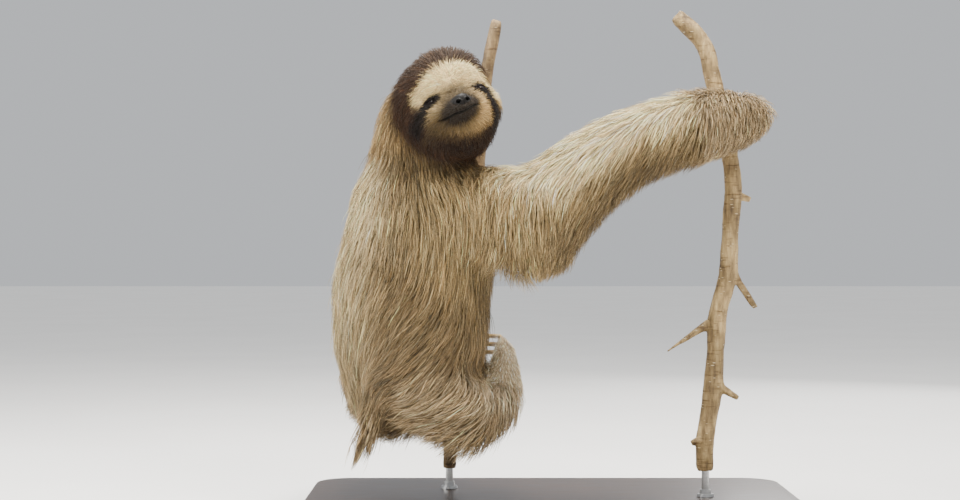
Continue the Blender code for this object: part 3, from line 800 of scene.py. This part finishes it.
def face_tones(spots, places):
    """Colours of the head's coat."""
    across, forward, up = spots.T
    wander = cloud(places, 260.0) * 0.0014 + cloud(places, 700.0, 3.0) * 0.0008
    wide, high = across + wander, up + wander
    side, front = np.abs(wide), ramp(forward, 0.002, 0.012)
    tone = np.tile(SIDE_RUSSET, (len(spots), 1))
    tone = mix(tone, CROWN_BROWN, ramp(high, 0.016, 0.046) * fall(side, 0.034, 0.054))
    tone = mix(tone, NECK_TAN * 0.72, ramp(-forward, 0.010, 0.035) * ramp(-high, -0.020, 0.010))
    limit = np.where(wide < 0, 0.0385, 0.0475)
    foot = -0.0525 + np.where(wide < 0, 8.5, 13.0) * (wide - 0.002) ** 2
    pale = front * ramp(crown_line(wide) - high, -0.0026, 0.0044) * ramp(limit - side, -0.0026, 0.0030)
    cream = ramp(high, -0.0320, 0.0020)
    beside = ramp(high, -0.030, -0.014) * ramp(side, 0.036, 0.041)
    cheek = mix(CHEEK_OCHRE * 0.62, CHEEK_OCHRE, ramp(high - foot, 0.0, 0.016))
    # Painted shade darkens the cheek where across is below zero, and painted light brightens it where across is
    # above zero
    cheek = cheek * (0.24 + 0.98 * ramp(wide, -0.032, 0.016))[:, None]
    face = mix(cheek, FACE_CREAM, np.maximum(cream, beside))
    tone = mix(tone, face, pale * ramp(high - foot, -0.0040, 0.0070))
    throat = ramp(foot - high, -0.006, 0.003) * fall(side, 0.044, 0.054)
    tone = mix(tone, THROAT_BROWN, throat * front)
    tone = mix(tone, STRIPE_BROWN, stripe_share(wide, high) * front)
    for name in EYES:
        away = spots - eye_middle(name) - (0, 0, -0.0012)
        slope = away[:, 2] + 0.22 * EYES[name] * away[:, 0]
        reach = np.hypot(away[:, 0] / 0.0106, slope / 0.0056)
        tone = mix(tone, STRIPE_BROWN * 0.75, fall(reach + wander * 60, 0.86, 1.18) * front)
    middle = wide - midline(up)
    reach = np.hypot(middle / 0.0240, (high + 0.0195) / 0.0258)
    tone = mix(tone, MUZZLE_GREY * 1.5, fall(reach, 0.52, 1.20) * 0.84 * front)
    reach = np.hypot(middle / 0.0225, (high + 0.0275) / 0.0150)
    tone = mix(tone, MUZZLE_GREY, fall(reach, 0.70, 1.15) * ramp(forward, 0.024, 0.034) * 0.94)
    return mix(tone, NOSE_GREY, nose_share(spots))


def body_tones(places, part):
    """Colours of the coat from the neck down."""
    across, _, up = places.T
    torso, arm = among(part, "torso"), among(part, "arm_right_upper arm_right_fore")
    tone = np.array([BASE_TONE.get(name, SHADED_STRAW) for name in PARTS])[part]
    low = fall(up, 0.130, 0.240)
    tone = mix(tone, RUMP_BROWN, low * torso)
    # Painted rim light: the far edge of the back and the high flank turn to the pale lit straw
    back = fall(across, -0.212, -0.160) + fall(across, -0.195, -0.150) * ramp(up, 0.26, 0.32)
    tone = mix(tone, LIT_STRAW, back.clip(0, 0.9) * (1 - 0.5 * low) * torso)
    above = up - np.interp(across, *ARM_AXIS)
    # Painted shade on the underside of the arm and painted light along its top
    tone = mix(tone, SHADED_STRAW * 0.84, fall(above, -0.020, 0.017) * ramp(across, -0.045, 0.030) * arm)
    tone = mix(tone, LIT_STRAW * 1.32, ramp(above, 0.004, 0.026) * arm)
    shin = fall(np.hypot(across + 0.044, up - 0.160), 0.026, 0.064)
    tone = mix(tone, FOOT_ROSE * 0.92, shin * 0.85 * among(part, "leg_right"))
    # Painted light on the shoulder, where the shaded straw goes back to plain straw
    lit_shoulder = fall(np.linalg.norm(places - (-0.09, -0.07, 0.31), axis=1), 0.035, 0.085)
    tone = mix(tone, STRAW, lit_shoulder * (part < HEAD_PART) * 0.8)
    chin = np.linalg.norm((places - (-0.098, -0.075, 0.358)) * (1, 1, 1.6), axis=1)
    return mix(tone, CHEST_SHADE, fall(chin, 0.015, 0.045) * 0.55)


# ---- coat ------------------------------------------------------------------------------------------


def guides_of(name):
    """Places that steer the lie of a part's coat, and the way the hair runs there."""
    rows = np.array(LIE[name], float)
    places, ways = rows[:, :3] / 1000, rows[:, 3:] / 100
    if name == "torso":
        # The same lie on the animal's other flank, where it hangs straighter
        others = places - 2 * ((places - TORSO_MIDDLE) @ ANIMAL_RIGHT)[:, None] * ANIMAL_RIGHT
        turned = ways - 2 * (ways @ ANIMAL_RIGHT)[:, None] * ANIMAL_RIGHT
        places, ways = np.concatenate((places, others)), np.concatenate((ways, 0.35 * turned + (0, 0, -0.65)))
    return places, unit(ways)


def head_lie(spots):
    """Hair of the head: away from the brow's whorl and the nose, over the crown, down the sides."""
    across, forward, up = spots.T
    from_whorl = unit((spots - (0.0, 0.044, 0.009)) * (1.0, 0.6, 1.0))
    from_nose = unit((spots - (0.0, 0.052, -0.020)) * (1.0, 0.9, 1.0))
    way = mix(from_nose, from_whorl, ramp(up, -0.016, 0.006))
    for sideways, along, rise, share in (
        (across * 6, -0.55, -0.75, fall(forward, -0.002, 0.018)),
        (across * 10, -1.0, 0.15, ramp(up, 0.026, 0.038) * ramp(forward, -0.020, 0.0)),
        (np.sign(across) * 0.25, -0.35, -1.0, ramp(np.abs(across), 0.036, 0.047)),
        (across * 3, 0.10, -1.0, ramp(-up, 0.046, 0.056)),
    ):
        there = np.stack((sideways, np.full_like(up, along), np.full_like(up, rise)), 1)
        way = mix(way, unit(there), share)
    return head_way(unit(way))


class Hide:
    """The skin as the coat sees it: place, normal, lie, depth and part at each of its points."""

    def __init__(self, skin, tree, labels):
        mesh = skin.data
        self.places, self.normals = read(mesh), read(mesh, "normal")
        self.tree = tree_of(self.places)
        self.spots = spots = to_head(self.places)
        self.part = labels[nearest(tree, self.places + self.normals * 0.006)]
        self.head = (self.part >= HEAD_PART).astype(float)
        self.face = face_share(spots) * self.head
        self.nose = nose_share(spots)
        self.bald = self.find_bald()
        pairs = edges_of(mesh)
        self.smooth_normals = unit(spread(self.normals, pairs, 8))
        self.way = self.comb(pairs)
        kinds = np.array(list(COAT.values()))[self.part]
        kinds = np.where(self.head[:, None] > 0, mix(kinds, np.array(FACE), self.face), kinds)
        kinds = spread(kinds, pairs, 6)
        kinds[:, 0] = np.minimum(kinds[:, 0], coat_depth(self.part, spots) * 1.3 + 0.0006)
        kinds[:, 1] *= 1 - 0.60 * muzzle_share(spots) * self.head
        kinds[:, 1] *= 1 - 0.45 * fall(near_eyes(spots), 0.007, 0.012) * self.head
        self.depth, self.length, self.spacing, self.width = kinds.T
        blend = spread(self.head, pairs, 5)
        self.tone = mix(body_tones(self.places, self.part), face_tones(spots, self.places), blend)

    def comb(self, pairs):
        """The lie of the coat at each point, laid flat on the skin and eased."""
        way = np.zeros_like(self.places)
        for number in np.unique(self.part):
            mine = self.part == number
            if number >= HEAD_PART:
                way[mine] = head_lie(self.spots[mine])
                continue
            starts, turns = guides_of(PARTS[number])
            gaps = np.linalg.norm(self.places[mine][:, None] - starts[None], axis=2)
            weights = 1 / (gaps**2 + 0.012**2) ** 1.5
            way[mine] = (weights[..., None] * turns[None]).sum(1) / weights.sum(1, keepdims=True)
        hold = (1 - 0.85 * self.face)[:, None]
        for _ in range(14):
            way = self.flat(way)
            way = way + (spread(way, pairs, 1, 1.0) - way) * 0.5 * hold
        return self.flat(way)

    def flat(self, way):
        return unit(way - self.normals * (way * self.normals).sum(1, keepdims=True))

    def find_bald(self):
        """The nose, the lips and the slits of the eyes bear no hair."""
        gap, beside = from_mouth(self.spots)
        bald = (np.abs(gap) < 0.0013) & (beside < 0.0250) & (self.spots[:, 1] > 0.028)
        for side in EYES:
            away = self.spots - set_eye(side)
            x, y, z = (away @ axis for axis in eye_frame(side)[1:] + eye_frame(side)[:1])
            slit = np.hypot(x / 0.0066, (y + 0.0003) / 0.0030) < 1
            bald |= slit & (z > 0) & (np.linalg.norm(away, axis=1) < 0.012)
        return bald | (self.nose > 0.3)

    def paint_skin(self, skin):
        across, forward, up = self.spots.T
        gap, beside = from_mouth(self.spots)
        lips = bell(gap, 0.0012) * fall(beside, 0.0215, 0.0265) * ramp(forward, 0.026, 0.034)
        # Painted shade: the coat's colours darkened on the skin under the long coat, less under the short hair of
        # the face
        tone = self.tone * (0.62 + 0.28 * self.face)[:, None]
        tone = mix(tone, NOSE_GREY * 0.35, lips)
        # Painted shade fills the nostril hollows nearly to black
        for side in (-1, 1):
            dip = np.hypot(across - side * NOSTRIL_ACROSS, up - NOSTRIL_UP)
            inside = fall(dip, NOSTRIL_RADIUS * 0.6, NOSTRIL_RADIUS) * (self.nose > 0.05)
            tone = mix(tone, NOSE_GREY * 0.08, inside)
        store_tone(skin.data, tone)
        bare = skin.data.attributes.new("bare", "FLOAT", "POINT")
        bare.data.foreach_set("value", np.maximum(self.nose, lips * 0.8).astype(float))


def store_tone(mesh, colours):
    layer = mesh.color_attributes.new("tone", "FLOAT_COLOR", "POINT")
    layer.data.foreach_set("color", np.concatenate((colours, np.ones((len(colours), 1))), 1).ravel())


def patches(skin, hide):
    """The skin's triangles in groups, each unwrapped over its own square."""
    mesh = skin.data
    middles = fetch(mesh.polygons, "center", 3)
    first = fetch(mesh.polygons, "loop_start", kind=int)
    part = hide.part[fetch(mesh.loops, "vertex_index", kind=int)[first]]
    for title, members, test in REGIONS:
        mine = among(part, members)
        if test is not None:
            mine &= test(middles)
        wanted = set(np.nonzero(mine)[0].tolist())
        bm = bmesh.new()
        bm.from_mesh(mesh)
        bmesh.ops.delete(bm, geom=[face for face in bm.faces if face.index not in wanted], context="FACES")
        sheet = bpy.data.meshes.new(title)
        bm.to_mesh(sheet)
        bm.free()
        holder = link(title, sheet)
        bpy.context.view_layer.objects.active = holder
        bpy.ops.object.mode_set(mode="EDIT")
        bpy.ops.mesh.select_all(action="SELECT")
        bpy.ops.uv.smart_project(angle_limit=math.radians(66), island_margin=0.004)
        bpy.ops.object.mode_set(mode="OBJECT")
        sheet = holder.data
        sheet.calc_loop_triangles()
        corners = read(sheet)[fetch(sheet.loop_triangles, "vertices", 3, int)]
        charts = fetch(sheet.uv_layers.active.data, "uv", 2)[fetch(sheet.loop_triangles, "loops", 3, int)]
        bpy.data.objects.remove(holder)
        yield title, corners, charts


def roots_on(hide, corners, charts):
    """Places for locks, spread over the triangles as closely as the coat there asks."""
    first, second, third = corners[:, 0], corners[:, 1], corners[:, 2]
    area = np.linalg.norm(np.cross(second - first, third - first), axis=1) / 2
    near = nearest(hide.tree, corners.mean(1))
    share = area / hide.spacing[near] ** 2 * ~hide.bald[near]
    total = np.cumsum(share)
    amount = int(total[-1])
    spots = (np.arange(amount) + chance.random(amount)) * total[-1] / amount
    chosen = np.searchsorted(total, spots).clip(0, len(area) - 1)
    one, two = chance.random((2, amount))
    flip = one + two > 1
    one, two = np.where(flip, 1 - one, one), np.where(flip, 1 - two, two)
    weights = np.stack((1 - one - two, one, two), 1)[..., None]
    return (corners[chosen] * weights).sum(1), (charts[chosen] * weights).sum(1)


def lay_locks(hide, roots, lengths, lift, steps, drape):
    """Centre lines of locks that leave the skin, rise to their height and run with the lie of the coat."""
    near = nearest(hide.tree, roots)
    normal, way = hide.normals[near], hide.way[near]
    free = ramp(drape, 1.2, 2.0)
    sway = np.array([noise.noise_vector(Vector(root) * 55.0) for root in roots]) * 0.55 * drape[:, None]
    own = chance.normal(0, 0.13, (len(roots), 3)) * (ramp(lengths, 0.004, 0.030) + 0.4 * free)[:, None]
    heading = unit(way + normal * 0.62 + sway * 0.5 + own)
    line, across = [roots - normal * 0.0006], []
    for step in range(steps):
        share = (step + 1) / steps
        place = line[-1] + heading * (lengths / steps)[:, None]
        near = nearest(hide.tree, place)
        normal, way = hide.smooth_normals[near], hide.way[near]
        gap = ((place - hide.places[near]) * normal).sum(1)
        want = hide.depth[near] * lift * (1 - (1 - share) ** 2.6) + 0.0003
        hanging = ramp(-normal[:, 2], 0.25, 0.75) * np.minimum(drape, 1)
        hold = np.where(gap < want, 0.85, 0.75 * (1 - 0.85 * hanging)) * (1 - free)
        place = place + normal * ((want - gap) * hold)[:, None]
        run = unit(place - line[-1])
        line.append(place)
        across.append(normal)
        fall_by = (0.06 + 0.6 * hanging + free)[:, None] * drape[:, None] * share
        falling = np.array((-0.25, 0, -1.0)) * fall_by
        along = 0.55 * run + 0.60 * way * (1 - 0.75 * hanging)[:, None]
        heading = unit(along + sway * 0.35 * share + own * 0.6 + falling * 0.6)
    return np.stack(line, 1), np.stack(across[:1] + across, 1)


def gathered(roots, line, every, strength):
    """Locks drawn together towards their tips round one in so many roots."""
    count = max(8, int(len(roots) / every))
    leaders = chance.choice(len(roots), count, replace=False)
    follow = leaders[nearest(tree_of(roots[leaders]), roots)]
    shares = np.linspace(0, 1, line.shape[1])[None, :, None]
    pull = (strength * chance.uniform(0, 1.9, len(roots)))[:, None, None] * shares**1.3
    target = line[follow] + (roots - roots[follow])[:, None] * 0.25
    return line + (target - line) * pull


def lock_faces(rings):
    """Triangles of one lock: a three-sided tube with its root closed and its tip a point."""
    faces, last, tip = [(0, 2, 1)], (rings - 1) * 3, rings * 3
    for low in range(0, last, 3):
        high = low + 3
        for here, there in ((0, 1), (1, 2), (2, 0)):
            faces += [(low + here, low + there, high + there), (low + here, high + there, high + here)]
    return np.array(faces + [(last, last + 1, tip), (last + 1, last + 2, tip), (last + 2, last, tip)])


def lock_mesh(name, line, normals, widths, tone, chart):
    """Closed three-sided tapering locks as one mesh, each with its patch of the map OFBake."""
    count, points, _ = line.shape
    rings = points - 1
    run = np.empty_like(line)
    run[:, 1:-1] = line[:, 2:] - line[:, :-2]
    run[:, 0], run[:, -1] = line[:, 1] - line[:, 0], line[:, -1] - line[:, -2]
    run = unit(run)
    side = unit(np.cross(run, normals))
    out = np.cross(side, run)
    turn = chance.uniform(-0.9, 0.9, count)[:, None, None]
    side, out = side * np.cos(turn) + out * np.sin(turn), out * np.cos(turn) - side * np.sin(turn)
    shares = np.linspace(0, 1, points)
    taper = np.interp(shares, (0, 0.2, 0.6, 1.0), (0.75, 1.0, 0.8, 0.22))[None, :, None]
    half = widths[:, None, None] * taper
    corners = np.stack((line + side * half, line + out * half * 0.75, line - side * half), 2)[:, :rings]
    verts = np.concatenate((corners.reshape(count, -1, 3), line[:, -1:]), 1)
    starts = np.arange(count) * (rings * 3 + 1)
    index = (lock_faces(rings)[None] + starts[:, None, None]).reshape(-1)
    mesh = bpy.data.meshes.new(name)
    mesh.vertices.add(verts.size // 3)
    mesh.vertices.foreach_set("co", verts.ravel())
    mesh.loops.add(len(index))
    mesh.loops.foreach_set("vertex_index", index)
    mesh.polygons.add(len(index) // 3)
    mesh.polygons.foreach_set("loop_start", np.arange(0, len(index), 3))
    mesh.update(calc_edges=True)
    mesh.shade_smooth()
    height = np.append(np.repeat(shares[:-1], 3), 1.0)
    # Painted shade darkens each lock towards its root, where the coat shades it, and its tip is lighter
    root_shade = np.interp(height, (0, 0.25, 0.7, 1.0), (0.42, 0.72, 1.03, 1.22))
    store_tone(mesh, (tone[:, None] * root_shade[None, :, None]).reshape(-1, 3))
    sides = np.append(np.tile((-0.5, 0.0, 0.5), rings), 0.0)
    patch = np.stack((sides, height - 0.5), 1) * PATCH
    layer = mesh.uv_layers.new(name="OFBake")
    layer.data.foreach_set("uv", (chart[:, None] + patch[None]).reshape(-1, 2)[index].ravel())
    return link(name, mesh)


def make_coat(skin, hide):
    long_hair, short_hair = hair_finish("straw_guard_hair", 0.54, 0.20), hair_finish("short_face_hair", 0.6, 0.16)
    for title, corners, charts in patches(skin, hide):
        roots, chart = roots_on(hide, corners, charts)
        near = nearest(hide.tree, roots)
        amount, length = len(roots), hide.length[near]
        tail, head = among(hide.part[near], "tail"), title in ("face", "head_sides")
        lift = chance.uniform(*LIFT_SPREAD, amount)
        lift = lift + (chance.random(amount) < STRAY_SHARE) * chance.uniform(*STRAY_LIFT, amount)
        if title == "hand_right":
            lift = lift * 1.25 + 0.20
        if head:
            _, forward, up = to_head(roots).T
            crown = ramp(up, 0.022, 0.036) * ramp(forward, -0.030, -0.005)
            lift = lift + (0.75 + 0.70 * lift - lift) * crown
        under = ramp(-hide.normals[near][:, 2], 0.2, 0.8) * title.startswith("arm_right")
        lengths = length * chance.uniform(*LENGTH_SPREAD, amount) * (1 - 0.45 * under)
        drape = (0.25 if head else 1.0) * ramp(length, 0.006, 0.030)
        drape[tail] = 2.2
        line, normals = lay_locks(hide, roots, lengths, lift, 3 if title in FEW_STEPS else 4, drape)
        line = gathered(roots, line, 6, np.where(tail, GATHER_TAIL, GATHER_HEAD if head else GATHER_BODY))
        widths = hide.width[near] * chance.uniform(*WIDTH_SPREAD, amount)
        jitter = chance.normal(0, 0.0015 if head else 0.003, (amount, 3))
        seen = roots + hide.way[near] * lengths[:, None] * (0.6 if head else 0.3)
        tone = hide.tone[nearest(hide.tree, seen + jitter)]
        shade = np.exp(chance.normal(-0.04, 0.27 if head else 0.38, amount)) * (1 + 0.25 * cloud(roots, 70.0, 5.0))
        warm = chance.normal(0, 0.05, amount)
        tone = tone * shade[:, None] * np.stack((1 + warm, np.ones(amount), 1 - 1.4 * warm), 1)
        if not head:
            tone = tone * (1 + 0.20 * cloud(roots, 22.0, 9.0))[:, None]
            tone[chance.random(amount) < SUNLIT_SHARE] *= SUNLIT_GAIN
        piece = lock_mesh("coat_" + title, line, normals, widths, tone.clip(0, 0.95), chart)
        finished(piece, "mask" if head else "coat", short_hair if head else long_hair)


# ---- eyes, claws, stems and stand ------------------------------------------------------------------


def make_eye(side):
    """An eyeball with a slight cornea, turned to look out between the lids."""
    cornea = 0.72
    bm = bmesh.new()
    bmesh.ops.create_uvsphere(bm, u_segments=40, v_segments=28, radius=EYE_RADIUS)
    for vert in bm.verts:
        if vert.co.z > EYE_RADIUS * cornea:
            vert.co.z += 0.0004 * (vert.co.z / EYE_RADIUS - cornea) / (1 - cornea)
    out, along, up = eye_frame(side)
    place = from_head(set_eye(side)[None])[0]
    turn = Matrix(head_way(np.stack((along, up, out))).T.tolist()).to_4x4()
    bmesh.ops.transform(bm, matrix=Matrix.Translation(place) @ turn, verts=bm.verts)
    finished(solid(f"eyeball_{side}", bm), "eye", eye_finish(side, tuple(place)), f"eye_{side}")


def rounded_copy(name, node):
    """A node's shape, subdivided twice."""
    bm = copy_of([node])
    bmesh.ops.join_triangles(
        bm, faces=bm.faces, angle_face_threshold=0.7, angle_shape_threshold=0.9, cmp_seam=False, cmp_sharp=False
    )
    piece = solid(name, bm)
    smooth = piece.modifiers.new("smooth", "SUBSURF")
    smooth.levels = smooth.render_levels = 2
    return settled(piece)


def make_claws():
    horn = horn_finish()
    for node in sorted(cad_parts):
        if node.startswith("claw_"):
            finished(rounded_copy(node.replace("claw_", "horn_"), node), "horn", horn, node)


def make_stems():
    branch, stem = bark_finish("branch_bark", *BRANCH_SHADES), bark_finish("stem_bark", *STEM_SHADES)
    for node, finish, knots in (("perch_branch", branch, 0.0011), ("perch_stem", stem, 0.0008)):
        piece = rounded_copy(node.replace("perch_", "bark_"), node)
        mesh = piece.data
        places, normals = read(mesh), read(mesh, "normal")
        swelling = cloud(places, 42.0) * knots + cloud(places * (1, 1, 2.6), 150.0, 2.0) * knots * 0.45
        up = places[:, 2]
        ends = ramp(up, up.min(), up.min() + 0.006) * fall(up, up.max() - 0.004, up.max())
        write(mesh, places + normals * (swelling * ends)[:, None])
        finished(piece, "bark", finish, node)


def cone(bm, wide, narrow, middle, start, depth):
    place = Matrix.Translation((middle.x, middle.y, start + depth / 2))
    bmesh.ops.create_cone(bm, cap_ends=True, segments=40, radius1=wide, radius2=narrow, depth=depth, matrix=place)


def make_stand():
    low, high = (Vector(corner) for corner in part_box("stand_base"))
    size, middle = high - low, (high + low) / 2
    bm = bmesh.new()
    bmesh.ops.create_cube(bm, size=1.0, matrix=Matrix.Translation(middle) @ Matrix.Diagonal((*size, 1.0)))
    rounding = {"profile": 0.5, "affect": "EDGES", "material": -1}
    uprights = [e for e in bm.edges if abs(e.verts[0].co.z - e.verts[1].co.z) > size.z / 2]
    bmesh.ops.bevel(bm, geom=uprights, offset=0.040, segments=20, **rounding)
    rim = [e for e in bm.edges if min(v.co.z for v in e.verts) > high.z - size.z * 0.01]
    bmesh.ops.bevel(bm, geom=rim, offset=0.004, segments=5, **rounding)
    base = solid("stand_plinth", bm)
    base.data.set_sharp_from_angle(angle=math.radians(40))
    finished(base, "plinth", plinth_finish(), "stand_base")

    steel = steel_finish()
    for node in ("stand_rod_stem", "stand_rod_branch"):
        foot, top = (Vector(corner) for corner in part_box(node))
        radius, middle = (top.x - foot.x) / 2, (foot + top) / 2
        bm = bmesh.new()
        cone(bm, radius, radius, middle, foot.z, top.z - foot.z)
        for reach, start, depth in ((radius * 2.3, foot.z, 0.0030), (radius * 1.55, foot.z + 0.0030, 0.0045)):
            cone(bm, reach, reach * 0.93, middle, start, depth)
        rod = solid(node.replace("stand_rod", "stand_post"), bm)
        rod.data.set_sharp_from_angle(angle=math.radians(40))
        finished(rod, "steel", steel, node)


# ---- making ----------------------------------------------------------------------------------------

make_studio()
sloth_skin, part_tree, part_labels = make_skin()
sloth_hide = Hide(sloth_skin, part_tree, part_labels)
sloth_hide.paint_skin(sloth_skin)
finished(sloth_skin, "coat", skin_finish(), *FLESH)
make_coat(sloth_skin, sloth_hide)
for eye_side in EYES:
    make_eye(eye_side)
make_claws()
make_stems()
make_stand()
